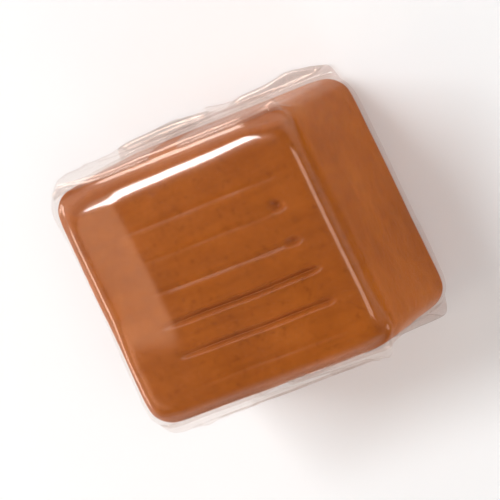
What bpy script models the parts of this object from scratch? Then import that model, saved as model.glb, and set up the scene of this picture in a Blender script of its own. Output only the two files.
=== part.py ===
"""A caramel square in its clear folded wrapper, about 22 mm across and 17 mm high.

The caramel is a block with rounded edges and a row of shallow grooves pressed across its top. The wrapper
is a clear film tube that runs over the top, down the two smooth sides and under the block, where its seam
is. At each end the film's sides are tucked in, the top flap is folded down over them as on a wrapped gift,
and the bottom flap is left as a short loose fin with a notch.

+Z is up, and the block stands on the film at z = 0, over the origin. The film tube runs along X, with a
folded end at +X and one at -X. The grooves run along Y. Lengths are in metres.
"""

import math

import bmesh
import bpy
from mathutils import Vector

MM = 0.001

# The caramel block
BLOCK_X = 19.6 * MM
BLOCK_Y = 21.0 * MM
BLOCK_Z = 15.6 * MM
EDGE_RADIUS = 1.4 * MM
TOP_CROWN = 0.30 * MM
SIDE_BULGE = 0.20 * MM
SLUMP = 0.030  # how much wider the foot is than the top, as a share of the width
SKEW_Y = 0.012  # how much longer the grooves' edge is at the -X end than at the +X end
SKEW_X = 0.012  # how much longer the folded ends' distance is at the +Y side than at the -Y side
SHEAR = 0.050  # how far the plan leans along X for each step along Y
CORNER_PULL = 0.025  # how far the four upright edges are drawn in, as a share of the width
CORNER_FROM = 0.72  # of nx * ny, from where they are drawn in
CORNER_FULL = 0.94

# The grooves across the top
GROOVE_STRENGTHS = (0.70, 1.00, 1.00, 0.60, 0.50, 0.45)  # from the -X end, beside the full depth
GROOVE_PITCH = 2.62 * MM
GROOVE_SHIFT = -1.25 * MM  # the row lies towards the -X end
GROOVE_HALF_WIDTH = 0.50 * MM
GROOVE_DEPTH = 0.32 * MM
GROOVE_MIDDLE = -0.70 * MM
GROOVE_HALF_LENGTH = 7.20 * MM
GROOVE_RUN_OUT = 1.40 * MM  # over which a groove's end fades out

# The film, thicker here than real film so that it is a solid
FILM_GAP = 0.30 * MM
FILM_WALL = 0.30 * MM
SEAM_Y = 4.20 * MM
SEAM_WIDTH = 0.30 * MM
SEAM_LENGTH = 15.0 * MM
SEAM_SLANT = math.radians(40)

# The folded ends
FLAP_THICKNESS = 0.35 * MM
FLAP_TIP_HALF = 0.90 * MM
FLAP_ROOT = 0.06 * MM  # how deep in the wall the flap's top edge starts
FLAP_SHOULDER = 0.60 * MM  # how far the flap stands out just below the top edge
FLAP_SHOULDER_RUN = 1.3 * MM
FLAP_SPRING = 0.60 * MM  # how much further it springs out at its tip
FLAP_ROWS = 10
FLAP_COLUMNS = 8
FIN_THICKNESS = 0.35 * MM
FIN_HEIGHT = 0.80 * MM  # of the fin's middle above the floor
FIN_REACH = 1.30 * MM
FIN_NOTCH = 0.70 * MM
FIN_NOTCH_HALF = 2.00 * MM

# Grid lines of the skins
ARC_STEPS = 3  # over half of each rounded edge
SKIN_STEPS = 6  # over each flat stretch

BLOCK_HALF = Vector((BLOCK_X / 2, BLOCK_Y / 2, BLOCK_Z / 2))
BLOCK_MIDDLE_Z = FILM_WALL + FILM_GAP + BLOCK_Z / 2


def clear_scene():
    """Remove whatever the scene holds at the start."""
    for thing in list(bpy.data.objects):
        bpy.data.objects.remove(thing)


def material(name, colour, roughness, alpha=1.0):
    """A plain Principled material."""
    made = bpy.data.materials.new(name)
    made.use_nodes = True
    shader = made.node_tree.nodes["Principled BSDF"]
    shader.inputs["Base Color"].default_value = (*colour, 1.0)
    shader.inputs["Roughness"].default_value = roughness
    shader.inputs["Metallic"].default_value = 0.0
    shader.inputs["Alpha"].default_value = alpha
    return made


def spread(low, high, steps):
    """Even places from low to high, both ends left out."""
    return [low + (high - low) * step / steps for step in range(1, steps)]


def stations(half, radius, between):
    """Grid lines along one axis: each rounded edge in even angles, and the given lines between them."""
    quarter = math.radians(45) / ARC_STEPS
    arc = [half - radius + radius * math.tan(quarter * step) for step in range(ARC_STEPS + 1)]
    return sorted([-place for place in arc] + list(between) + arc)


def rounded(place, half, radius):
    """Move a point of a sharp box onto the same box with rounded edges."""
    core = Vector([max(-h + radius, min(h - radius, p)) for p, h in zip(place, half)])
    return core + (place - core).normalized() * radius


def settled(place, half):
    """The block's uneven form: crowned top, full sides, a slightly wider foot and a leaning plan.

    Its upright edges are rounder than the level ones.
    """
    nx, ny, nz = (p / h for p, h in zip(place, half))
    x = place.x + SIDE_BULGE * nx * (1 - ny * ny) * (1 - nz * nz)
    y = place.y + SIDE_BULGE * ny * (1 - nx * nx) * (1 - nz * nz)
    z = place.z + TOP_CROWN * max(nz, 0.0) * (1 - nx * nx) * (1 - ny * ny)
    into_corner = (abs(nx * ny) - CORNER_FROM) / (CORNER_FULL - CORNER_FROM)
    into_corner = max(0.0, min(1.0, into_corner))
    width = 1 - SLUMP / 2 * nz - CORNER_PULL * into_corner * into_corner
    x *= width * (1 + SKEW_X / 2 * ny)
    y *= width * (1 - SKEW_Y / 2 * nx)
    return Vector((x + SHEAR * y, y, z))


def block_mesh(name, skin, lines, relief=None):
    """A closed mesh of the block's form, grown outwards by skin, on the given grid lines.

    relief is a function that gives how far a point of the flat top is sunk.
    """
    half = BLOCK_HALF + Vector((skin, skin, skin))
    radius = EDGE_RADIUS + skin
    last = [len(line) - 1 for line in lines]
    built = bmesh.new()
    corners = {}

    def corner(index):
        if index not in corners:
            place = rounded(Vector([line[i] for line, i in zip(lines, index)]), half, radius)
            sunk = relief(place) if relief and index[2] == last[2] else 0.0
            place = settled(place, half)
            corners[index] = built.verts.new((place.x, place.y, place.z - sunk))
        return corners[index]

    for axis in range(3):
        first, second = (axis + 1) % 3, (axis + 2) % 3
        for side in (0, last[axis]):
            for i in range(last[first]):
                for j in range(last[second]):
                    ring = []
                    for di, dj in ((0, 0), (1, 0), (1, 1), (0, 1)):
                        index = [0, 0, 0]
                        index[axis] = side
                        index[first] = i + di
                        index[second] = j + dj
                        ring.append(corner(tuple(index)))
                    built.faces.new(ring if side else reversed(ring))
    mesh = bpy.data.meshes.new(name)
    built.to_mesh(mesh)
    built.free()
    mesh.shade_smooth()
    return mesh


def prism_mesh(name, outline, along, low, high):
    """A closed prism: a flat outline carried from low to high along one axis."""
    built = bmesh.new()
    ends = []
    for level in (low, high):
        ring = []
        for first, second in outline:
            place = [first, second]
            place.insert(along, level)
            ring.append(built.verts.new(place))
        ends.append(ring)
    built.faces.new(ends[0])
    built.faces.new(ends[1])
    for i, start in enumerate(ends[0]):
        following = (i + 1) % len(outline)
        built.faces.new((start, ends[0][following], ends[1][following], ends[1][i]))
    bmesh.ops.recalc_face_normals(built, faces=built.faces)
    mesh = bpy.data.meshes.new(name)
    built.to_mesh(mesh)
    built.free()
    return mesh


def put(name, mesh, collection=None, guide=False):
    """An object for a mesh. A guide only shapes another object, by a Boolean modifier."""
    thing = bpy.data.objects.new(name, mesh)
    (collection or bpy.context.scene.collection).objects.link(thing)
    if guide:
        thing.hide_render = True
        thing.display_type = "WIRE"
    return thing


def groove_places():
    """Each groove's place along X, and how deep it is beside the usual one."""
    middle = (len(GROOVE_STRENGTHS) - 1) / 2
    for number, strength in enumerate(GROOVE_STRENGTHS):
        yield GROOVE_SHIFT + (number - middle) * GROOVE_PITCH, strength


def groove_relief(place):
    """How far the grooves sink a point of the flat top."""
    from_middle = abs(place.y - GROOVE_MIDDLE)
    fade = (GROOVE_HALF_LENGTH - from_middle) / GROOVE_RUN_OUT
    fade = max(0.0, min(1.0, fade))
    depth = 0.0
    for centre, strength in groove_places():
        across = abs(place.x - centre) / GROOVE_HALF_WIDTH
        depth += strength * GROOVE_DEPTH * max(0.0, 1 - across)
    return depth * fade


def make_caramel():
    """The caramel itself, on grid lines that follow the grooves' edges and middles."""
    flat_y = BLOCK_HALF.y - EDGE_RADIUS
    flat_z = BLOCK_HALF.z - EDGE_RADIUS
    across = []
    for centre, _ in groove_places():
        across += [centre - GROOVE_HALF_WIDTH, centre, centre + GROOVE_HALF_WIDTH]
    ends = []
    for inset in (0.0, GROOVE_RUN_OUT / 2, GROOVE_RUN_OUT):
        reach = GROOVE_HALF_LENGTH - inset
        ends += [GROOVE_MIDDLE - reach, GROOVE_MIDDLE + reach]
    inner = GROOVE_HALF_LENGTH - GROOVE_RUN_OUT
    along = ends + spread(GROOVE_MIDDLE - inner, GROOVE_MIDDLE + inner, 6)
    assert max(along) < flat_y
    lines = (
        stations(BLOCK_HALF.x, EDGE_RADIUS, across),
        stations(BLOCK_HALF.y, EDGE_RADIUS, along),
        stations(BLOCK_HALF.z, EDGE_RADIUS, spread(-flat_z, flat_z, 4)),
    )
    mesh = block_mesh("caramel", 0.0, lines, groove_relief)
    thing = put("caramel", mesh)
    thing.location.z = BLOCK_MIDDLE_Z
    mesh.materials.append(material("caramel", (0.43, 0.115, 0.022), 0.38))
    return thing


def skin_lines(skin):
    """Grid lines for a plain skin of the block, grown outwards by skin."""
    lines = []
    for half in BLOCK_HALF:
        flat = half - EDGE_RADIUS
        lines.append(stations(half + skin, EDGE_RADIUS + skin, spread(-flat, flat, SKIN_STEPS)))
    return lines


def flap_mesh(end, skin):
    """A top flap as a closed thin plate, narrowing at 45 degrees to its tip.

    It comes out of the end wall below the top edge and springs off it towards its tip.
    """
    half = BLOCK_HALF + Vector((skin, skin, skin))
    wide = half.y - EDGE_RADIUS
    length = wide - FLAP_TIP_HALF
    built = bmesh.new()
    layers = []
    for outer in (False, True):
        layer = []
        for row in range(FLAP_ROWS + 1):
            below = length * row / FLAP_ROWS
            shoulder = math.sin(math.pi / 2 * min(1.0, below / FLAP_SHOULDER_RUN))
            lift = (FLAP_SHOULDER + FLAP_ROOT) * shoulder + FLAP_SPRING * below / length - FLAP_ROOT
            if not outer:
                lift = max(-FILM_WALL / 2, lift - FLAP_THICKNESS)
            ring = []
            for column in range(FLAP_COLUMNS + 1):
                y = (wide - below) * (2 * column / FLAP_COLUMNS - 1)
                flat = Vector((end * half.x, y, half.z - below))
                place = settled(rounded(flat, half, EDGE_RADIUS + skin), half)
                ring.append(built.verts.new((place.x + end * lift, place.y, place.z)))
            layer.append(ring)
        layers.append(layer)
    for layer in layers:
        for upper, lower in zip(layer, layer[1:]):
            for i in range(FLAP_COLUMNS):
                built.faces.new((upper[i], upper[i + 1], lower[i + 1], lower[i]))
    inner, outer = (rim(layer) for layer in layers)
    for i, start in enumerate(inner):
        following = (i + 1) % len(inner)
        built.faces.new((start, inner[following], outer[following], outer[i]))
    bmesh.ops.recalc_face_normals(built, faces=built.faces)
    mesh = bpy.data.meshes.new("flap")
    built.to_mesh(mesh)
    built.free()
    return mesh


def rim(layer):
    """The corners round the edge of a grid, in order."""
    top, bottom = layer[0], layer[-1]
    right = [row[-1] for row in layer[1:-1]]
    left = [row[0] for row in layer[1:-1]]
    return top + right + bottom[::-1] + left[::-1]


def end_folds(collection, end):
    """The top flap and the loose fin of one end, where end is 1 for +X and -1 for -X."""
    skin = FILM_GAP + FILM_WALL
    face = BLOCK_HALF.x + skin
    flap_half = BLOCK_HALF.y + skin - EDGE_RADIUS
    name = "plus" if end > 0 else "minus"

    mesh = flap_mesh(end, skin)
    flap = put(f"flap_{name}", mesh, collection, guide=True)
    flap.location.z = BLOCK_MIDDLE_Z

    # the fin is the bottom flap, cut back at its corners, with a notch between the two tucked sides
    root = face - EDGE_RADIUS
    tip = face + FIN_REACH
    slope = FIN_REACH + EDGE_RADIUS
    fin = [
        (end * root, -flap_half),
        (end * tip, -flap_half + slope),
        (end * tip, -FIN_NOTCH_HALF),
        (end * (tip - FIN_NOTCH), 0.0),
        (end * tip, FIN_NOTCH_HALF),
        (end * tip, flap_half - slope),
        (end * root, flap_half),
    ]
    fin = [(x + SHEAR * y, y) for x, y in fin]
    levels = (FIN_HEIGHT - FIN_THICKNESS / 2, FIN_HEIGHT + FIN_THICKNESS / 2)
    put(f"fin_{name}", prism_mesh("fin", fin, 2, *levels), collection, guide=True)


def boolean(thing, name, operation, other):
    """A Boolean modifier with the exact solver, on an object or on a collection."""
    step = thing.modifiers.new(name, "BOOLEAN")
    step.operation = operation
    step.solver = "EXACT"
    if isinstance(other, bpy.types.Collection):
        step.operand_type = "COLLECTION"
        step.collection = other
    else:
        step.object = other


def make_wrapper():
    """The film: a thin shell round the block, with its folded ends, opened along its seam."""
    skin = FILM_GAP + FILM_WALL
    thing = put("wrapper", block_mesh("wrapper", skin, skin_lines(skin)))
    thing.location.z = BLOCK_MIDDLE_Z
    folds = bpy.data.collections.new("end_folds")
    bpy.context.scene.collection.children.link(folds)
    for end in (1, -1):
        end_folds(folds, end)

    hollow = put("hollow", block_mesh("hollow", FILM_GAP, skin_lines(FILM_GAP)), guide=True)
    hollow.location.z = BLOCK_MIDDLE_Z

    # the two edges of the film lie over each other, so the seam's slit is slanted
    deep = 2 * FILM_WALL
    slit = [
        (SEAM_Y - deep * math.tan(SEAM_SLANT), -deep),
        (SEAM_Y - deep * math.tan(SEAM_SLANT) + SEAM_WIDTH, -deep),
        (SEAM_Y + deep * math.tan(SEAM_SLANT) + SEAM_WIDTH, deep),
        (SEAM_Y + deep * math.tan(SEAM_SLANT), deep),
    ]
    ends = (-SEAM_LENGTH / 2, SEAM_LENGTH / 2)
    seam = put("seam", prism_mesh("seam", slit, 0, *ends), guide=True)

    boolean(thing, "add the folds", "UNION", folds)
    boolean(thing, "hollow out", "DIFFERENCE", hollow)
    boolean(thing, "open the seam", "DIFFERENCE", seam)
    thing.data.materials.append(material("film", (0.90, 0.87, 0.85), 0.12, 0.25))
    return thing


def main():
    clear_scene()
    make_caramel()
    make_wrapper()


main()
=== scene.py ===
"""The looks of a wrapped caramel square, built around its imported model.

The caramel is a fine mesh of the same block as the model's, with its grooves, pits and soft dents. The
wrapper is one sheet of clear film on a grid, folded by rule: it runs round the block as a tube along X,
its two side panels are tucked in at each end, the top flap comes down over them, and the bottom flap makes
a short loose fin at the foot and then goes up the end. Lengths are in metres.
"""

import math
from types import SimpleNamespace

import bpy
import numpy as np
from mathutils import Matrix, Quaternion, Vector, noise


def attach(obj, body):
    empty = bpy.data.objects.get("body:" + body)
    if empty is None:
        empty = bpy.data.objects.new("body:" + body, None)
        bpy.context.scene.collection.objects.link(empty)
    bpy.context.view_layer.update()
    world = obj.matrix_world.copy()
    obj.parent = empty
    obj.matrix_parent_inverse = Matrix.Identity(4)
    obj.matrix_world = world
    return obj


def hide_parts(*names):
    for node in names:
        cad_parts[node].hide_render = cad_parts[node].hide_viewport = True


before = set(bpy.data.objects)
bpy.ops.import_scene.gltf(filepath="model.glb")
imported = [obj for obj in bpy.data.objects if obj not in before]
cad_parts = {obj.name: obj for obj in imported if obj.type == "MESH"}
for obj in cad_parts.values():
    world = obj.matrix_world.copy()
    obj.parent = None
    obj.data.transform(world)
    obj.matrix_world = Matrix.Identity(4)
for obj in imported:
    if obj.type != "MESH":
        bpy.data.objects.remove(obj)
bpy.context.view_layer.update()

MM = 0.001

# The caramel block, as in the model
BLOCK = np.array((19.6, 21.0, 15.6)) / 2 * MM  # half of its length along each axis
EDGE_RADIUS = 1.4 * MM
TOP_CROWN = 0.30 * MM
SIDE_BULGE = 0.20 * MM
SLUMP = 0.030  # how much wider the foot is than the top, as a share of the width
SKEW_Y = 0.012
SKEW_X = 0.012
SHEAR = 0.050  # how far the plan leans along X for each step along Y
CORNER_PULL = 0.025  # how far the upright edges are drawn in, as a share of the width
CORNER_FROM = 0.72
CORNER_FULL = 0.94
FILM_GAP = 0.30 * MM
FILM_WALL = 0.30 * MM
MIDDLE_Z = FILM_WALL + FILM_GAP + BLOCK[2]

# The grooves across the top
GROOVE_PITCH = 2.62 * MM
GROOVE_SHIFT = -1.25 * MM
GROOVE_STRENGTHS = (0.28, 1.75, 1.70, 0.44, 0.18, 0.20)
GROOVE_DEPTH = 0.25 * MM
GROOVE_WIDTH = 0.20 * MM
GROOVE_ROUNDNESS = 1.6
GROOVE_LIP = 0.012 * MM
GROOVE_LIP_PLACE = 2.1  # from the groove's middle, in its widths
GROOVE_LIP_WIDTH = 0.9
GROOVE_MIDDLE = -0.70 * MM
GROOVE_HALF_LENGTH = 7.20 * MM
GROOVE_RUN_OUT = 1.00 * MM
GROOVE_RAGGED = 0.5  # how uneven the ends are, as a share of the run-out
GROOVE_RAGGED_SIZE = 1.1 * MM
GROOVE_FAINT = 0.30  # what is left of a groove's depth at its +Y end
GROOVE_FAINT_FROM = 2.5 * MM
GROOVE_FAINT_RUN = 4.0 * MM
GROOVE_WANDER = 0.10 * MM
GROOVE_WANDER_SIZE = 5 * MM
GROOVE_USUAL = 0.78  # the usual share of a groove's depth, and how much it varies along the groove
GROOVE_VARIES = 0.55
GROOVE_VARY_SIZE = 2.6 * MM
GROOVE_SHALLOWEST = 0.15
GROOVE_DEEPEST = 1.2

# The caramel's own surface
GRID_STEP = 0.30 * MM
GROOVE_STEP = 0.07 * MM
GROOVE_REACH = 0.70 * MM  # to each side of a groove, over which the grid is fine
SWELL = 0.05 * MM
SWELL_SIZE = 6 * MM
SWELL_FINE = 0.4
SWELL_FINE_SIZE = 2.2 * MM
TOP_FACING = 0.75  # how far up the surface has to face to be part of the top
SHOULDER_FROM = 5.0 * MM  # along Y, from where the top slopes down towards its +Y edge
SHOULDER_BEND = 0.50 * MM
SHOULDER_SLOPE = 0.085
SHOULDER_LOW_X = -6.4 * MM  # where it has faded out, towards the -X end
SHOULDER_FADE = 5.0 * MM
SHOULDER_LEAN = 0.30  # how much sooner it fades out for each step towards +Y
SHOULDER_LEFT = 0.05  # the share of the slope that is left there
ROLL_FROM = 7.2 * MM  # along X, from where the top rolls off towards its +X edge
ROLL_GROWTH = 1.6 * MM
ROLL_UNTIL = 8.8 * MM
ROLL_FADE = 1.0 * MM
ROLL_SLOPE = 0.25
ROLL_STEPS = 60
CORNER_DROP = 0.30 * MM  # how much lower the top's corners are
CORNER_DROP_FROM = 0.55
CORNER_DROP_RUN = 0.40
CORNER_DROP_MORE = 0.35 * MM  # what the +X -Y corner has on top of it
CORNER_DROP_MORE_FROM = 0.42
PITS = (  # x, y, radius and depth, in mm
    (3.1, -6.8, 0.46, 0.48),
    (0.1, -6.8, 0.40, 0.36),
    (-6.6, 6.4, 0.30, 0.10),
    (7.6, 2.2, 0.26, 0.08),
)
PIT_NARROW = 1.3  # how much shorter a pit is along X than along Y
PIT_STEEPNESS = 2.4

# The film's grid and its layers at the ends
FILM_STEPS = 36  # grid cells over half of the block's width
FLAP_STEPS = 32  # grid cells over the length that stands out beyond each end
FILM_SKIN = 0.40 * MM  # how far the film lies outside the model's caramel
FILM_EDGE = 1.35 * MM  # the film's own radius at the block's edges
FILM_THICKNESS = 0.03 * MM
SEAM_Y = 4.20 * MM
SEAM_LAP = 3.0 * MM
LAP_LIFT = 0.08 * MM
LAP_EASE = 1.0 * MM
END_EASE = 1.3 * MM  # how far past the edge the layers have come apart
FOOT_EASE = 0.9 * MM
TUCK_LIFT = 0.06 * MM
TUCK_ROUGH = 0.06 * MM
CORNER_LIFT = 0.16 * MM
FOLD_WIDTH = 0.45 * MM
FOLD_BEAD = 0.22 * MM  # how far the fold at the flap's slanted edges stands up, not being pressed flat
FOLD_BEAD_WIDTH = 0.42 * MM
FOLD_BEAD_EASE = 1.5 * MM
FOLD_NEAR = 0.05 * MM  # a cell whose middle is as near to a slanted fold as this is crossed by it
FOLD_ON = 0.01 * MM

# The top flap
FLAP_LIFT = 0.24 * MM
FLAP_ROUGH = 0.15 * MM
FLAP_ROUGH_RUN = 2.0 * MM
FLAP_STAND = 0.20 * MM  # how far the top flap stands off near its top
FLAP_STAND_RUN = 3.2 * MM
FLAP_SPRING = 0.70 * MM  # how much more it stands off at its tip
FLAP_SPRING_POWER = 1.3
FLAP_UNEVEN = 0.2
FLAP_UNEVEN_SIZE = 7 * MM
FLAP_CREASES = ((1.9, 0.10, 0.32), (3.4, 0.12, 0.32), (5.6, 0.08, 0.45))  # down, proud and width, in mm

# The bottom flap and its fin
FIN_REACH = 1.05 * MM
FIN_LOBES = (  # the end, then the place along Y, the extra reach and the width, in mm
    (1, -6.4, 0.45, 1.9),
    (1, 4.6, 0.15, 2.2),
    (-1, 5.4, 0.30, 1.9),
    (-1, -4.6, 0.15, 2.2),
)
FIN_NOTCH = 0.55 * MM
FIN_NOTCH_WIDTH = 1.0 * MM
FIN_WAVE = 0.08 * MM
FIN_WAVE_SIZE = 3 * MM
FIN_RIPPLE = 0.10 * MM
FIN_RISE = 0.40 * MM
FIN_MOUTH = 0.24 * MM
FIN_BACK = 0.50 * MM
FIN_BEND = 0.22 * MM  # the length of film over which it turns at the foot and at the fin's edge
FIN_LAP = 0.06 * MM
INNER_LIFT = 0.07 * MM  # how much nearer to the other side of the fin its inner layers lie
INNER_WALL = 0.12 * MM
BOTTOM_FLAP_LIFT = 0.28 * MM
CLIMB_RUN = 4 * MM
CLIMB_STAND = 0.16 * MM
CLIMB_ROUGH = 0.14 * MM

# The film's looseness
CRUMPLE_SIZES = (3.4 * MM, 1.5 * MM)
CRUMPLE_SHARES = (0.65, 0.35)
CORNER_PUFFS = (  # the corner, then the height and the width, in mm
    (1, 1, 1, 0.75, 2.8),
    (1, -1, 1, 0.35, 2.2),
    (-1, 1, 1, 0.30, 2.2),
    (-1, -1, 1, 0.45, 2.4),
)
PUFF_FLAT = 0.45  # a puff fades from where the film faces up this far
SIDE_LOOSE = 0.10 * MM
SIDE_WAVE = 0.24 * MM
SIDE_WAVE_SIZE = 6 * MM
SIDE_ROUGH = 0.10 * MM
SIDE_END_RUN = 2.5 * MM
SIDE_TOP_RUN = 3.0 * MM
SIDE_FOOT_RUN = 2.0 * MM
TOP_LOOSE = 0.02 * MM
TOP_WAVE = 0.03 * MM
TOP_WAVE_SIZE = 4 * MM
TOP_EDGE_RUN = 2.0 * MM
TUCK_TOP_RUN = 2.0 * MM

# The camera
VIEW_AZIMUTH = 8.0
VIEW_ELEVATION = 68.0
VIEW_DISTANCE = 218 * MM
VIEW_LENS = 200.0
VIEW_SENSOR = 36.0
GROOVE_ANGLE = 21.3  # above the picture's level, as the grooves rise to the right

# The lights
LIGHT_DISTANCE = 0.60
COOL = (0.955, 0.985, 1.0)
WARM = (1.0, 0.90, 0.84)
WARMER = (1.0, 0.84, 0.72)
AMBER = (1.0, 0.80, 0.68)
ORANGE = (1.0, 0.68, 0.50)
SHOULDER_LAYERS = 4  # panels of several sizes, one behind the other, that give this light a soft edge
SHOULDER_SOFTNESS = 0.36
SHOULDER_SPACING = 0.004


def smooth(value):
    """An ease from 0 to 1."""
    held = np.clip(value, 0.0, 1.0)
    return held * held * (3 - 2 * held)


def noise_at(points, scale, seed):
    """Smooth noise, about -1 to 1, at each point of an array, with features of the given size."""
    shift = Vector((seed * 7.31, seed * 3.17, seed * 5.93))
    return np.array([noise.noise(Vector(point) / scale + shift) for point in points])


# The block's form


def shoulder_drop(points):
    """How far the top is lowered by its slope towards the +Y edge."""
    past = points[:, 1] - SHOULDER_FROM
    run = (np.hypot(past, SHOULDER_BEND) + past) / 2
    low_x = SHOULDER_LOW_X + SHOULDER_LEAN * past
    full = smooth((points[:, 0] - low_x) / SHOULDER_FADE)
    return SHOULDER_SLOPE * run * (SHOULDER_LEFT + (1 - SHOULDER_LEFT) * full)


def roll_drop(points):
    """How far the top is lowered by its roll towards the +X edge."""
    places = np.linspace(ROLL_FROM, ROLL_UNTIL + ROLL_FADE, ROLL_STEPS)
    slopes = smooth((places - ROLL_FROM) / ROLL_GROWTH) * (1 - smooth((places - ROLL_UNTIL) / ROLL_FADE))
    rolled = ROLL_SLOPE * np.cumsum(slopes) * (places[1] - places[0])
    return np.interp(points[:, 0] - SHEAR * points[:, 1], places, rolled)


def corner_drop(points):
    """How far the top is lowered at its corners."""
    nx, ny = np.clip(points[:, :2] / BLOCK[:2], -1, 1).T
    into_corner = np.abs(nx * ny)
    drop = CORNER_DROP * smooth((into_corner - CORNER_DROP_FROM) / CORNER_DROP_RUN) ** 2
    more = CORNER_DROP_MORE * smooth((into_corner - CORNER_DROP_MORE_FROM) / CORNER_DROP_RUN) ** 2
    return drop + np.where((nx > 0) & (ny < 0), more, 0.0)


def lowered(points):
    """How far the top is lowered in all."""
    return shoulder_drop(points) + roll_drop(points) + corner_drop(points)


def settle(points, half):
    """The block's uneven form: crowned top, full sides, a slightly wider foot and a leaning plan."""
    nx, ny, nz = np.clip(points / half, -1, 1).T
    x = points[:, 0] + SIDE_BULGE * nx * (1 - ny * ny) * (1 - nz * nz)
    y = points[:, 1] + SIDE_BULGE * ny * (1 - nx * nx) * (1 - nz * nz)
    z = points[:, 2] + TOP_CROWN * np.maximum(nz, 0.0) * (1 - nx * nx) * (1 - ny * ny)
    into_corner = np.clip((np.abs(nx * ny) - CORNER_FROM) / (CORNER_FULL - CORNER_FROM), 0, 1)
    width = 1 - SLUMP / 2 * nz - CORNER_PULL * into_corner ** 2
    x = x * width * (1 + SKEW_X / 2 * ny)
    y = y * width * (1 - SKEW_Y / 2 * nx)
    return np.stack((x + SHEAR * y, y, z), axis=1)


# Meshes


def grid_lines(half, step, fine=()):
    """Grid lines from -half to half: even ones, and finer ones around the given places."""
    lines = np.linspace(-half, half, round(2 * half / step) + 1)
    offsets = np.arange(-GROOVE_REACH, GROOVE_REACH + GROOVE_STEP / 2, GROOVE_STEP)
    for place in fine:
        lines = lines[np.abs(lines - place) > GROOVE_REACH + step / 3]
        lines = np.concatenate((lines, place + offsets))
    return np.sort(lines)


def box_grid(lines):
    """The surface of a sharp box on the given grid lines: its points and its quads, facing out."""
    last = [len(line) - 1 for line in lines]
    numbers = {}
    places = []
    quads = []

    def corner(index):
        if index not in numbers:
            numbers[index] = len(places)
            places.append([line[i] for line, i in zip(lines, index)])
        return numbers[index]

    for axis in range(3):
        first, second = (axis + 1) % 3, (axis + 2) % 3
        for side in (0, last[axis]):
            for i in range(last[first]):
                for j in range(last[second]):
                    ring = []
                    for di, dj in ((0, 0), (1, 0), (1, 1), (0, 1)):
                        index = [0, 0, 0]
                        index[axis] = side
                        index[first] = i + di
                        index[second] = j + dj
                        ring.append(corner(tuple(index)))
                    quads.append(ring if side else ring[::-1])
    return np.array(places), quads


def make_piece(name, points, faces, material, node):
    """A mesh piece that rides on the root and stands for one node of the model."""
    mesh = bpy.data.meshes.new(name)
    mesh.from_pydata([tuple(point) for point in points], [], faces)
    mesh.validate()
    mesh.shade_smooth()
    mesh.materials.append(material)
    piece = bpy.data.objects.new(name, mesh)
    bpy.context.scene.collection.objects.link(piece)
    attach(piece, "root")
    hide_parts(node)
    return piece


# The caramel


def groove_centres():
    """Each groove's place along X."""
    middle = (len(GROOVE_STRENGTHS) - 1) / 2
    return [GROOVE_SHIFT + (number - middle) * GROOVE_PITCH for number in range(len(GROOVE_STRENGTHS))]


def groove_sunk(points):
    """How deep the grooves sink each point of the top."""
    x, y = points[:, 0], points[:, 1]
    reach = (GROOVE_HALF_LENGTH - np.abs(y - GROOVE_MIDDLE)) / GROOVE_RUN_OUT
    faint = 1 - (1 - GROOVE_FAINT) * smooth((y - GROOVE_FAINT_FROM) / GROOVE_FAINT_RUN)
    sunk = np.zeros(len(points))
    for number, (centre, strength) in enumerate(zip(groove_centres(), GROOVE_STRENGTHS)):
        along = [(place, number * 0.031, 0.0) for place in y]
        wander = GROOVE_WANDER * noise_at(along, GROOVE_WANDER_SIZE, number + 1)
        uneven = GROOVE_USUAL + GROOVE_VARIES * noise_at(along, GROOVE_VARY_SIZE, number + 11)
        fade = smooth(reach + GROOVE_RAGGED * noise_at(along, GROOVE_RAGGED_SIZE, number + 21))
        across = np.abs((x - centre - wander) / GROOVE_WIDTH)
        depth = GROOVE_DEPTH * strength * faint * np.clip(uneven, GROOVE_SHALLOWEST, GROOVE_DEEPEST)
        profile = np.exp(-across ** GROOVE_ROUNDNESS)
        lips = np.exp(-((across - GROOVE_LIP_PLACE) / GROOVE_LIP_WIDTH) ** 2)
        sunk += fade * (depth * profile - GROOVE_LIP * strength * faint * lips)
    return sunk


def pits_sunk(points):
    """How deep the small pits sink each point of the top."""
    sunk = np.zeros(len(points))
    for x, y, radius, depth in PITS:
        away = np.hypot((points[:, 0] - x * MM) * PIT_NARROW, points[:, 1] - y * MM) / (radius * MM)
        sunk += depth * MM * np.exp(-(away ** PIT_STEEPNESS))
    return sunk


def make_caramel():
    """The caramel block, out to the inside of the model's wrapper, where the film lies on it."""
    half = BLOCK + FILM_GAP
    radius = EDGE_RADIUS + FILM_GAP / 2
    lines = (
        grid_lines(half[0], GRID_STEP, groove_centres()),
        grid_lines(half[1], GRID_STEP),
        grid_lines(half[2], GRID_STEP),
    )
    places, quads = box_grid(lines)
    core = np.clip(places, radius - half, half - radius)
    away = places - core
    facing = away / np.linalg.norm(away, axis=1, keepdims=True)
    points = core + facing * radius

    swell = SWELL * noise_at(points, SWELL_SIZE, 3)
    swell += SWELL_FINE * SWELL * noise_at(points, SWELL_FINE_SIZE, 4)
    top = smooth((facing[:, 2] - TOP_FACING) / (1 - TOP_FACING))
    sunk = top * (groove_sunk(points) + pits_sunk(points))
    points = settle(points, half)
    points += facing * (swell - SWELL)[:, None]
    points[:, 2] -= sunk + smooth(facing[:, 2]) * lowered(points)
    points[:, 2] += MIDDLE_Z
    make_piece("caramel_block", points, quads, caramel_material(), "caramel")


# The film laid onto the block


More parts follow.
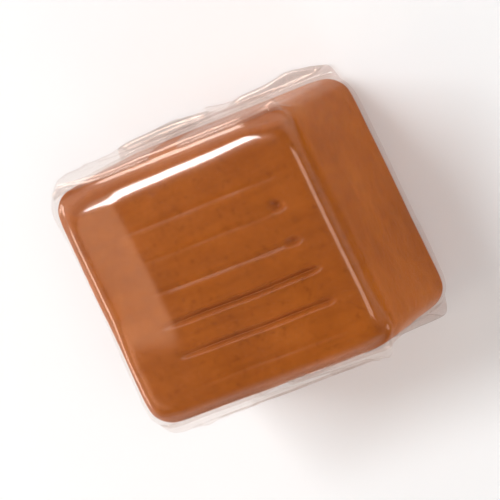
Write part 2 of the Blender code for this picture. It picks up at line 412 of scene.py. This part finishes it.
def round_pair(first, second, half_first, half_second, radius):
    """Round the corners of a rectangle that two coordinates make, inside it too."""
    over_first = np.maximum(np.abs(first) - (half_first - radius), 0.0)
    over_second = np.maximum(np.abs(second) - (half_second - radius), 0.0)
    longest = np.maximum(over_first, over_second)
    length = np.hypot(over_first, over_second)
    scale = np.where(length > 0, longest / np.maximum(length, 1e-12), 1.0)
    new_first = first - np.sign(first) * over_first * (1 - scale)
    new_second = second - np.sign(second) * over_second * (1 - scale)
    return new_first, new_second


def snug(places, half, radius):
    """Lay points of the sharp box onto the rounded one, and give the way that faces out at each.

    The lower edges of the two ends stay sharp, because the film runs straight out there.
    """
    core = np.clip(places, radius - half, half - radius)
    away = places - core
    length = np.linalg.norm(away, axis=1, keepdims=True)
    longest = np.abs(away).max(axis=1, keepdims=True)
    upper = core + away / np.maximum(length, 1e-12) * longest

    x, y, z = places.T
    low_y, low_z = round_pair(y, z, half[1], half[2], radius)
    low_x, low_y = round_pair(x, low_y, half[0], half[1], radius)
    lower = np.stack((low_x, low_y, low_z), axis=1)

    is_lower = (z < 0)[:, None]
    out = away.copy()
    at_end = np.abs(x) > half[0] - radius
    out[(z < 0) & at_end & (np.abs(z) < half[2]), 2] = 0.0
    out /= np.maximum(np.linalg.norm(out, axis=1, keepdims=True), 1e-12)
    return np.where(is_lower, lower, upper), out


def film_layout():
    """Half of the film's box, the zone, y and z of each line round the tube, and the x of each row."""
    half = BLOCK + FILM_SKIN
    step = half[1] / FILM_STEPS
    across = np.linspace(-half[1], half[1], 2 * FILM_STEPS + 1)
    up = np.linspace(-half[2], half[2], round(2 * half[2] / step) + 1)
    lap_start = np.searchsorted(across, SEAM_Y + SEAM_LAP / 2)
    lap_end = np.searchsorted(across, SEAM_Y - SEAM_LAP / 2)
    ring = [("under", y, -half[2]) for y in across[lap_start:0:-1]]
    ring += [("side", -half[1], z) for z in up[:-1]]
    ring += [("top", y, half[2]) for y in across[:-1]]
    ring += [("side", half[1], z) for z in up[:0:-1]]
    ring += [("outer", y, -half[2]) for y in across[:lap_end - 1:-1]]
    tube = np.linspace(-half[0], half[0], round(2 * half[0] / step) + 1)
    beyond = half[0] + step * np.arange(1, FLAP_STEPS + 1)
    return half, ring, np.concatenate((-beyond[::-1], tube, beyond))


def crumple(places, seed):
    """Sharp-ridged unevenness from 0 to 1, the same for every layer of film at one place."""
    large = 1 - np.abs(noise_at(places, CRUMPLE_SIZES[0], seed))
    small = 1 - np.abs(noise_at(places, CRUMPLE_SIZES[1], seed + 5))
    return np.clip(CRUMPLE_SHARES[0] * large ** 2 + CRUMPLE_SHARES[1] * small ** 2, 0, 1)


def lay_film():
    """The flat sheet of film, and where each of its points comes to lie on the sharp box.

    beyond is how far a point lies past the tube's end, and from_edge how far from the sheet's folded edge.
    Where from_edge is the smaller of the two, the flap is folded in behind itself along a slanted fold.
    """
    half, ring, along = film_layout()
    sheet = SimpleNamespace(half=half, columns=len(ring), rows=len(along))
    zone = np.tile([name for name, _, _ in ring], sheet.rows)
    sheet.is_side = zone == "side"
    sheet.is_top = zone == "top"
    sheet.is_under = (zone == "under") | (zone == "outer")
    sheet.y = np.tile([y for _, y, _ in ring], sheet.rows)
    sheet.z = np.tile([z for _, _, z in ring], sheet.rows)
    sheet.x = np.repeat(along, sheet.columns)
    sheet.end = np.sign(sheet.x)
    sheet.beyond = np.maximum(np.abs(sheet.x) - half[0], 0.0)
    sheet.past = sheet.beyond > 0
    sheet.from_edge = half[1] - np.abs(sheet.y)
    sheet.to_diagonal = np.abs(sheet.beyond - sheet.from_edge)

    tucked = sheet.is_side | (sheet.from_edge < sheet.beyond)
    sheet.folded_y = np.where(tucked, np.sign(sheet.y) * (half[1] - sheet.beyond), sheet.y)
    sheet.drop = np.where(sheet.is_side, 0.0, np.where(tucked, sheet.from_edge, sheet.beyond))
    place_x = np.where(sheet.past, sheet.end * half[0], sheet.x)
    place_y = np.where(sheet.past, sheet.folded_y, sheet.y)
    place_z = np.where(sheet.past & sheet.is_top, half[2] - sheet.drop, sheet.z)
    sheet.places = np.stack((place_x, place_y, place_z), axis=1)
    sheet.below_top = half[2] - place_z

    sheet.corner = sheet.past & ~sheet.is_side & (sheet.from_edge < sheet.beyond)
    from_fold = np.where(sheet.corner, sheet.from_edge, sheet.beyond)
    sheet.off_fold = smooth(from_fold / FOLD_WIDTH)
    sheet.inner = np.where(sheet.corner, sheet.off_fold * smooth(sheet.to_diagonal / FOLD_WIDTH), 0.0)
    sheet.share = np.where(sheet.corner, smooth(from_fold / np.maximum(sheet.beyond, 1e-9)), 1.0)
    lap = smooth((SEAM_Y + SEAM_LAP / 2 + LAP_EASE - sheet.y) / LAP_EASE)
    sheet.lap = np.where(zone == "outer", lap, 0.0)
    sheet.rough = crumple(sheet.places, 2)
    return sheet


# The film's layers and looseness


def puffs(places, out, half):
    """How far the film stands off round the block's upper corners."""
    lift = np.zeros(len(places))
    for x, y, z, height, width in CORNER_PUFFS:
        away = (places - half * (x, y, z)) / (width * MM)
        lift += height * MM * np.exp(-(away ** 2).sum(axis=1))
    return lift * (1 - smooth((out[:, 2] - PUFF_FLAT) / PUFF_FLAT))


def tube_lift(sheet):
    """How far the tube stands off: its smooth sides a little, its tight top hardly, its outer layer a bit."""
    half = sheet.half
    to_end = smooth((half[0] - np.abs(sheet.x)) / SIDE_END_RUN)
    to_top = smooth((half[2] - FILM_EDGE - sheet.z) / SIDE_TOP_RUN)
    to_foot = smooth((sheet.z + half[2]) / SIDE_FOOT_RUN)
    side = SIDE_LOOSE + SIDE_WAVE * (0.5 + 0.5 * noise_at(sheet.places, SIDE_WAVE_SIZE, 12))
    side = (side + SIDE_ROUGH * sheet.rough) * to_end * to_top * to_foot
    top = TOP_LOOSE + TOP_WAVE * (0.5 + 0.5 * noise_at(sheet.places, TOP_WAVE_SIZE, 14))
    top = top * to_end * smooth(sheet.from_edge / TOP_EDGE_RUN)
    return np.where(sheet.is_side, side, np.where(sheet.is_top, top, LAP_LIFT * sheet.lap))


def flap_stand(sheet):
    """How far the top flap stands off the end: more towards its tip, and proud along its creases."""
    stand = FLAP_STAND * smooth(sheet.below_top / FLAP_STAND_RUN)
    stand += FLAP_SPRING * (sheet.below_top / sheet.half[1]) ** FLAP_SPRING_POWER
    for down, proud, width in FLAP_CREASES:
        stand += proud * MM * np.maximum(0, 1 - np.abs(sheet.below_top - down * MM) / (width * MM))
    return stand * (1 + FLAP_UNEVEN * noise_at(sheet.places, FLAP_UNEVEN_SIZE, 8))


def end_lift(sheet):
    """How far the film stands off each end: the tucked sides, and the top flap over them."""
    apart = smooth(sheet.beyond / END_EASE)
    above_foot = smooth((sheet.places[:, 2] + sheet.half[2]) / FOOT_EASE)
    tuck = apart * above_foot * (TUCK_LIFT + TUCK_ROUGH * sheet.rough)

    layer = np.where(sheet.corner, TUCK_LIFT + (FLAP_LIFT - TUCK_LIFT) * sheet.off_fold, FLAP_LIFT)
    layer -= (FLAP_LIFT - CORNER_LIFT) * sheet.inner
    loose = flap_stand(sheet) + FLAP_ROUGH * sheet.rough * smooth(sheet.below_top / FLAP_ROUGH_RUN)
    bead_width = np.where(sheet.corner, FOLD_BEAD_WIDTH / 2, FOLD_BEAD_WIDTH)
    bead = FOLD_BEAD * np.exp(-((sheet.to_diagonal / bead_width) ** 2))
    flap = apart * (layer + sheet.share * loose) + bead * smooth(sheet.beyond / FOLD_BEAD_EASE)
    return np.where(sheet.is_side, tuck, np.where(sheet.is_top, flap, 0.0))


def fin_path(length, reach, inner):
    """The bottom flap's way: out along the floor, back above itself, then up the end wall.

    length is how far along the film a point is. inner is 1 for the layer inside the fold.
    """
    wall = BOTTOM_FLAP_LIFT - INNER_WALL * inner
    share = np.clip(length / reach, 0, 1)
    back = np.clip((length - reach) / reach, 0, 1)
    out = np.where(length < reach, length, reach + (wall - reach) * back)
    low = FIN_RISE * share ** 2 + INNER_LIFT * inner
    high = FIN_RISE + FIN_MOUTH + FIN_BACK * back - INNER_LIFT * inner
    up = np.where(length < reach, low, high) + np.maximum(length - 2 * reach, 0)
    return out, up


def fin_reach(sheet):
    """How far the fin stands out at each point, and the wave along it."""
    lobes = np.zeros(len(sheet.x))
    for side, middle, extra, width in FIN_LOBES:
        lobe = extra * MM * np.exp(-((sheet.folded_y / MM - middle) / width) ** 2)
        lobes += np.where(sheet.end == side, lobe, 0.0)
    notch = np.exp(-(sheet.folded_y / FIN_NOTCH_WIDTH) ** 2)
    along = np.stack((sheet.places[:, 0] * 3, sheet.folded_y, 0 * sheet.x), axis=1)
    wave = noise_at(along, FIN_WAVE_SIZE, 17)
    return FIN_REACH + lobes - FIN_NOTCH * notch + FIN_WAVE * wave, wave


def bottom_flap(sheet):
    """How far out and up from the end's foot the bottom flap lies, with its bends rounded."""
    drop = sheet.drop
    reach, wave = fin_reach(sheet)
    bend = np.minimum(FIN_BEND, drop)
    parts = [fin_path(drop + shift * bend, reach, sheet.inner) for shift in (-1, -0.5, 0, 0.5, 1)]
    out = sum(part[0] for part in parts) / len(parts)
    up = sum(part[1] for part in parts) / len(parts)
    up += FIN_RIPPLE * wave * smooth(out / FIN_REACH) * smooth(drop / FIN_REACH)
    up -= LAP_LIFT * sheet.lap * (1 - smooth(drop / reach))
    climbing = smooth((drop - 2 * reach) / CLIMB_RUN)
    out += climbing * (CLIMB_STAND + CLIMB_ROUGH * sheet.rough) * sheet.share
    out += FIN_LAP * sheet.lap * smooth(drop / (2 * reach))
    return out, up


def film_cell(ring, sheet):
    """One cell of the film. A cell that a slanted fold crosses is split along the fold."""
    first, second, third, fourth = ring
    middle_x = abs(sheet.x[first] + sheet.x[third]) / 2
    middle_y = abs(sheet.y[first] + sheet.y[third]) / 2
    if sheet.is_side[first] or sheet.is_side[third] or middle_x < sheet.half[0]:
        return [ring]
    if abs((middle_x - sheet.half[0]) - (sheet.half[1] - middle_y)) > FOLD_NEAR:
        return [ring]
    if sheet.to_diagonal[first] < FOLD_ON and sheet.to_diagonal[third] < FOLD_ON:
        return [(first, second, third), (first, third, fourth)]
    return [(first, second, fourth), (second, third, fourth)]


def make_film():
    """The wrapper: one sheet of film, folded, then given its thickness."""
    sheet = lay_film()
    half = sheet.half
    points, out = snug(sheet.places, half, FILM_EDGE)
    lift = np.where(sheet.past, end_lift(sheet), tube_lift(sheet)) + puffs(sheet.places, out, half)
    points += out * lift[:, None]
    is_bottom = sheet.past & sheet.is_under
    flap_out, flap_up = bottom_flap(sheet)
    points[:, 0] += np.where(is_bottom, sheet.end * flap_out, 0.0)
    points[:, 2] += np.where(is_bottom, flap_up, 0.0)

    points = settle(points, half)
    on_tube = smooth(points[:, 2] / half[2]) ** 4
    on_tuck = smooth(1 - sheet.below_top / TUCK_TOP_RUN)
    upper = np.where(sheet.past & sheet.is_side, on_tuck, on_tube)
    points[:, 2] -= np.where(sheet.is_under, 0.0, upper * lowered(points))
    points[:, 2] += MIDDLE_Z

    faces = []
    for row in range(sheet.rows - 1):
        for column in range(sheet.columns - 1):
            here = row * sheet.columns + column
            there = here + sheet.columns
            faces += film_cell((here, here + 1, there + 1, there), sheet)
    wrap = make_piece("film_wrapper", points, faces, film_material(), "wrapper")
    thicken = wrap.modifiers.new("thickness", "SOLIDIFY")
    thicken.thickness = FILM_THICKNESS
    thicken.offset = 0.0


# Nodes


def new_material(name):
    """A node material that holds only its output, with the ways to add and to link nodes."""
    made = bpy.data.materials.new(name)
    made.use_nodes = True
    tree = made.node_tree
    tree.nodes.clear()

    def add(kind, **values):
        node = tree.nodes.new(kind)
        for key, value in values.items():
            if hasattr(node, key):
                setattr(node, key, value)
            else:
                node.inputs[key.replace("_", " ")].default_value = value
        return node

    output = add("ShaderNodeOutputMaterial")
    place = add("ShaderNodeTexCoord").outputs["Object"]
    return SimpleNamespace(made=made, add=add, link=tree.links.new, output=output, place=place)


def noise_value(nodes, vector, scale, detail, roughness):
    """Noise over a place, from 0 to 1."""
    texture = nodes.add("ShaderNodeTexNoise", Scale=scale, Detail=detail, Roughness=roughness)
    nodes.link(vector, texture.inputs["Vector"])
    return texture.outputs["Fac"]


def stretched(nodes, scale):
    """The place on the piece, scaled along each axis, so that a texture comes out drawn long."""
    mapping = nodes.add("ShaderNodeMapping", Scale=scale)
    nodes.link(nodes.place, mapping.inputs["Vector"])
    return mapping.outputs["Vector"]


def normal_part(nodes, axis):
    """How far the surface faces along one axis."""
    parts = nodes.add("ShaderNodeSeparateXYZ")
    nodes.link(nodes.add("ShaderNodeNewGeometry").outputs["Normal"], parts.inputs["Vector"])
    return parts.outputs[axis]


def ranged(nodes, source, start, end, low, high, easing="SMOOTHSTEP"):
    """A value's way from start to end turned into the way from low to high."""
    node = nodes.add(
        "ShaderNodeMapRange",
        interpolation_type=easing,
        From_Min=start,
        From_Max=end,
        To_Min=low,
        To_Max=high,
    )
    nodes.link(source, node.inputs["Value"])
    return node.outputs["Result"]


def math_value(nodes, operation, *values):
    """The result of one Math node. Each value is a number or what another node gives."""
    node = nodes.add("ShaderNodeMath", operation=operation)
    for socket, value in zip(node.inputs, values):
        if isinstance(value, float):
            socket.default_value = value
        else:
            nodes.link(value, socket)
    return node.outputs[0]


def colour_over(nodes, source, stops):
    """A colour ramp over a value."""
    node = nodes.add("ShaderNodeValToRGB")
    ramp = node.color_ramp
    while len(ramp.elements) < len(stops):
        ramp.elements.new(0.5)
    for element, (place, colour) in zip(ramp.elements, stops):
        element.position = place
        element.color = (*colour, 1.0)
    nodes.link(source, node.inputs["Fac"])
    return node.outputs["Color"]


def multiplied(nodes, factor, first, second):
    """A colour multiplied by another one, in part."""
    mix = nodes.add("ShaderNodeMix", data_type="RGBA", blend_type="MULTIPLY")
    mix.inputs["Factor"].default_value = factor
    nodes.link(first, mix.inputs[6])
    nodes.link(second, mix.inputs[7])
    return mix.outputs[2]


def bumped(nodes, height, strength, distance, shader):
    """Bend the direction that a shader's surface faces by a height."""
    bump = nodes.add("ShaderNodeBump", Strength=strength, Distance=distance)
    nodes.link(height, bump.inputs["Height"])
    nodes.link(bump.outputs["Normal"], shader.inputs["Normal"])


def mixed(nodes, share, first, second):
    """One shader that turns into another by a share."""
    mix = nodes.add("ShaderNodeMixShader")
    nodes.link(share, mix.inputs["Fac"])
    nodes.link(first, mix.inputs[1])
    nodes.link(second, mix.inputs[2])
    return mix.outputs["Shader"]


# Materials


def caramel_colour(nodes, streaks):
    """Warm brown with soft clouds, a fine grain of darker specks and faint streaks along the grooves."""
    clouds = noise_value(nodes, nodes.place, 170.0, 6.0, 0.68)
    tone = colour_over(nodes, clouds, (
        (0.30, (0.385, 0.096, 0.008)),
        (0.52, (0.460, 0.120, 0.010)),
        (0.74, (0.535, 0.148, 0.016)),
    ))
    grain = noise_value(nodes, nodes.place, 1900.0, 3.0, 0.6)
    fleck = colour_over(nodes, grain, (
        (0.28, (0.78, 0.72, 0.66)),
        (0.42, (1.0, 1.0, 1.0)),
        (0.70, (1.06, 1.05, 1.03)),
    ))
    streak_tone = colour_over(nodes, streaks, (
        (0.32, (0.84, 0.80, 0.76)),
        (0.50, (1.0, 1.0, 1.0)),
        (0.68, (1.09, 1.10, 1.12)),
    ))
    return multiplied(nodes, 0.50, multiplied(nodes, 0.8, tone, fleck), streak_tone)


def caramel_material():
    """Cooked sugar and milk: soft and a little see-through, glossier on top than on its sides."""
    nodes = new_material("caramel_soft")
    shader = nodes.add(
        "ShaderNodeBsdfPrincipled",
        Roughness=0.31,
        Subsurface_Weight=0.10,
        Subsurface_Radius=(1.0, 0.35, 0.12),
        Subsurface_Scale=0.9 * MM,
    )
    gloss = ranged(nodes, normal_part(nodes, "Z"), 0.35, 0.80, 0.02, 0.15)
    nodes.link(gloss, shader.inputs["Specular IOR Level"])
    streaks = noise_value(nodes, stretched(nodes, (1.0, 0.10, 1.0)), 1500.0, 3.0, 0.55)
    nodes.link(caramel_colour(nodes, streaks), shader.inputs["Base Color"])
    fine = noise_value(nodes, nodes.place, 900.0, 5.0, 0.6)
    bumped(nodes, math_value(nodes, "MULTIPLY_ADD", streaks, 0.8, fine), 0.30, 0.06 * MM, shader)
    nodes.link(shader.outputs["BSDF"], nodes.output.inputs["Surface"])
    return nodes.made


def film_shine(nodes):
    """The film's share of gloss: more at grazing angles, less where it clings to the sides and the ends."""
    facing = nodes.add("ShaderNodeLayerWeight", Blend=0.5).outputs["Facing"]
    grazing = math_value(nodes, "POWER", facing, 5.0)
    bare = math_value(nodes, "MULTIPLY_ADD", grazing, 0.30, 0.042)
    sideways = math_value(nodes, "ABSOLUTE", normal_part(nodes, "Y"))
    endways = math_value(nodes, "ABSOLUTE", normal_part(nodes, "X"))
    on_side = ranged(nodes, sideways, 0.50, 0.85, 1.0, 0.07)
    on_end = ranged(nodes, endways, 0.75, 0.97, 1.0, 0.45)
    return math_value(nodes, "MULTIPLY", bare, math_value(nodes, "MULTIPLY", on_side, on_end))


def film_material():
    """Clear cellophane: see-through, with a gloss that grows towards grazing angles and a faint haze."""
    nodes = new_material("clear_film")
    clear = nodes.add("ShaderNodeBsdfTransparent", Color=(0.978, 0.970, 0.966, 1.0))
    gloss = nodes.add(
        "ShaderNodeBsdfPrincipled",
        Base_Color=(1.0, 0.90, 0.83, 1.0),
        Metallic=1.0,
        Roughness=0.12,
    )
    haze = nodes.add("ShaderNodeBsdfPrincipled", Base_Color=(0.86, 0.79, 0.76, 1.0), Roughness=0.5)
    streaks = noise_value(nodes, stretched(nodes, (1.0, 0.12, 0.12)), 2600.0, 2.0, 0.5)
    bumped(nodes, streaks, 0.10, 0.02 * MM, gloss)
    glossy = mixed(nodes, film_shine(nodes), clear.outputs["BSDF"], gloss.outputs["BSDF"])
    patches = noise_value(nodes, nodes.place, 260.0, 3.0, 0.6)
    cloud = ranged(nodes, patches, 0.35, 0.70, 0.001, 0.005, easing="LINEAR")
    nodes.link(mixed(nodes, cloud, glossy, haze.outputs["BSDF"]), nodes.output.inputs["Surface"])
    return nodes.made


def floor_material():
    """A plain near-white studio sheet with a hardly visible tooth. Its glow is painted light: an emission
    that grows with the distance out, so the far floor and its upturned rim light up and give the caramel a
    soft fill.
    """
    nodes = new_material("studio_white")
    shader = nodes.add(
        "ShaderNodeBsdfPrincipled",
        Roughness=0.75,
        Specular_IOR_Level=0.15,
        Emission_Color=(1.0, 1.0, 1.0, 1.0),
    )
    tooth = noise_value(nodes, nodes.place, 60.0, 2.0, 0.5)
    tone = colour_over(nodes, tooth, (
        (0.3, (0.930, 0.945, 0.958)),
        (0.7, (0.945, 0.960, 0.972)),
    ))
    nodes.link(tone, shader.inputs["Base Color"])
    # painted light: the floor's emission, from 0.13 near the caramel to 0.28 far out
    distance = nodes.add("ShaderNodeVectorMath", operation="LENGTH")
    nodes.link(nodes.place, distance.inputs[0])
    glow = ranged(nodes, distance.outputs["Value"], 0.15, 1.20, 0.13, 0.28)
    nodes.link(glow, shader.inputs["Emission Strength"])
    nodes.link(shader.outputs["BSDF"], nodes.output.inputs["Surface"])
    return nodes.made


# The studio


def make_floor():
    """A wide pale floor that turns up far behind on every side."""
    flat, widest, height = 1.2, 2.2, 1.0
    turns, steps = 96, 12
    rings = [(flat * share, 0.0) for share in (0.04, 0.2, 0.6, 1.0)]
    for step in range(1, steps + 1):
        angle = math.pi / 2 * step / steps
        rings.append((flat + (widest - flat) * math.sin(angle), height * (1 - math.cos(angle))))
    points = [(0.0, 0.0, 0.0)]
    for radius, level in rings:
        for turn in range(turns):
            angle = 2 * math.pi * turn / turns
            points.append((radius * math.cos(angle), radius * math.sin(angle), level))
    faces = [(0, 1 + turn, 1 + (turn + 1) % turns) for turn in range(turns)]
    for ring in range(len(rings) - 1):
        for turn in range(turns):
            start = 1 + ring * turns
            following = (turn + 1) % turns
            faces.append((start + turn, start + turns + turn, start + turns + following, start + following))
    mesh = bpy.data.meshes.new("floor")
    mesh.from_pydata(points, [], faces)
    mesh.shade_smooth()
    mesh.materials.append(floor_material())
    floor = bpy.data.objects.new("floor", mesh)
    bpy.context.scene.collection.objects.link(floor)


def make_world():
    """A dim grey overhead that grows pale towards the horizon."""
    world = bpy.data.worlds.new("studio")
    bpy.context.scene.world = world
    world.use_nodes = True
    tree = world.node_tree
    tree.nodes.clear()
    output = tree.nodes.new("ShaderNodeOutputWorld")
    glow = tree.nodes.new("ShaderNodeBackground")
    coordinates = tree.nodes.new("ShaderNodeTexCoord")
    parts = tree.nodes.new("ShaderNodeSeparateXYZ")
    ramp = tree.nodes.new("ShaderNodeValToRGB")
    ramp.color_ramp.elements[0].position = 0.40
    ramp.color_ramp.elements[0].color = (0.85, 0.85, 0.85, 1.0)
    ramp.color_ramp.elements[1].position = 0.75
    ramp.color_ramp.elements[1].color = (0.05, 0.05, 0.05, 1.0)
    tree.links.new(coordinates.outputs["Generated"], parts.inputs["Vector"])
    tree.links.new(parts.outputs["Z"], ramp.inputs["Fac"])
    tree.links.new(ramp.outputs["Color"], glow.inputs["Color"])
    tree.links.new(glow.outputs["Background"], output.inputs["Surface"])


def softbox(name, direction, distance, tall, wide, radiance, colour=(1.0, 1.0, 1.0)):
    """A soft rectangular light of the given brightness that looks at the caramel."""
    data = bpy.data.lights.new(name, "AREA")
    data.shape = "RECTANGLE"
    data.size = tall
    data.size_y = wide
    data.energy = radiance * math.pi * tall * wide
    data.color = colour
    lamp = bpy.data.objects.new(name, data)
    bpy.context.scene.collection.objects.link(lamp)
    way = Vector(direction).normalized()
    lamp.location = way * distance + Vector((0, 0, MIDDLE_Z))
    lamp.rotation_mode = "QUATERNION"
    lamp.rotation_quaternion = way.to_track_quat("Z", "X")


def make_shoulder_light():
    """The light that the slope at the top's +Y edge mirrors, with a soft edge."""
    for number in range(SHOULDER_LAYERS):
        share = 1 - SHOULDER_SOFTNESS * (number / (SHOULDER_LAYERS - 1) - 0.5)
        distance = LIGHT_DISTANCE + SHOULDER_SPACING * number
        tall, wide = 0.095 * share, 0.26 * share
        name = f"shoulder_{number}"
        softbox(name, (-0.02, 0.588, 0.809), distance, tall, wide, 1.6 / SHOULDER_LAYERS, ORANGE)


def make_lights():
    """The key, which the top's +X edge mirrors as a white line, and softer lights for the other edges."""
    softbox("key", (0.43, 0.371, 0.822), 0.50, 0.074, 0.26, 21.0, COOL)
    make_shoulder_light()
    softbox("left_edge", (-0.05, 0.90, 0.42), LIGHT_DISTANCE, 0.12, 0.18, 5.5, WARMER)
    softbox("right_edge", (-0.085, -0.45, 0.89), LIGHT_DISTANCE, 0.20, 0.27, 2.8, AMBER)
    softbox("corner", (0.454, 0.877, 0.13), LIGHT_DISTANCE, 0.10, 0.12, 7.0, WARM)
    softbox("rim_plus", (0.905, 0.371, 0.20), LIGHT_DISTANCE, 0.09, 0.24, 8.5, WARM)
    softbox("rim_minus", (-0.92, -0.10, 0.38), LIGHT_DISTANCE, 0.08, 0.26, 6.0)


def make_camera():
    """The photograph's view of the chosen piece: from above, with the grooves rising to the right."""
    azimuth, elevation = math.radians(VIEW_AZIMUTH), math.radians(VIEW_ELEVATION)
    towards = Vector((
        math.sin(azimuth) * math.cos(elevation),
        -math.cos(azimuth) * math.cos(elevation),
        math.sin(elevation),
    ))
    data = bpy.data.cameras.new("camera")
    data.lens = VIEW_LENS
    data.sensor_width = VIEW_SENSOR
    data.clip_start = 0.01
    data.clip_end = 10.0
    camera = bpy.data.objects.new("camera", data)
    bpy.context.scene.collection.objects.link(camera)
    groove = Vector((-SHEAR, -1, 0))
    groove = (groove - towards * groove.dot(towards)).normalized()
    right = Quaternion(towards, -math.radians(GROOVE_ANGLE)) @ groove
    up = towards.cross(right)
    camera.rotation_mode = "QUATERNION"
    camera.rotation_quaternion = Matrix((right, up, towards)).transposed().to_quaternion()
    camera.location = Vector((0, 0, MIDDLE_Z)) + towards * VIEW_DISTANCE
    bpy.context.scene.camera = camera


make_world()
make_floor()
make_caramel()
make_film()
make_lights()
make_camera()
bpy.context.scene.view_settings.view_transform = "Standard"
bpy.context.scene.cycles.transparent_max_bounces = 32
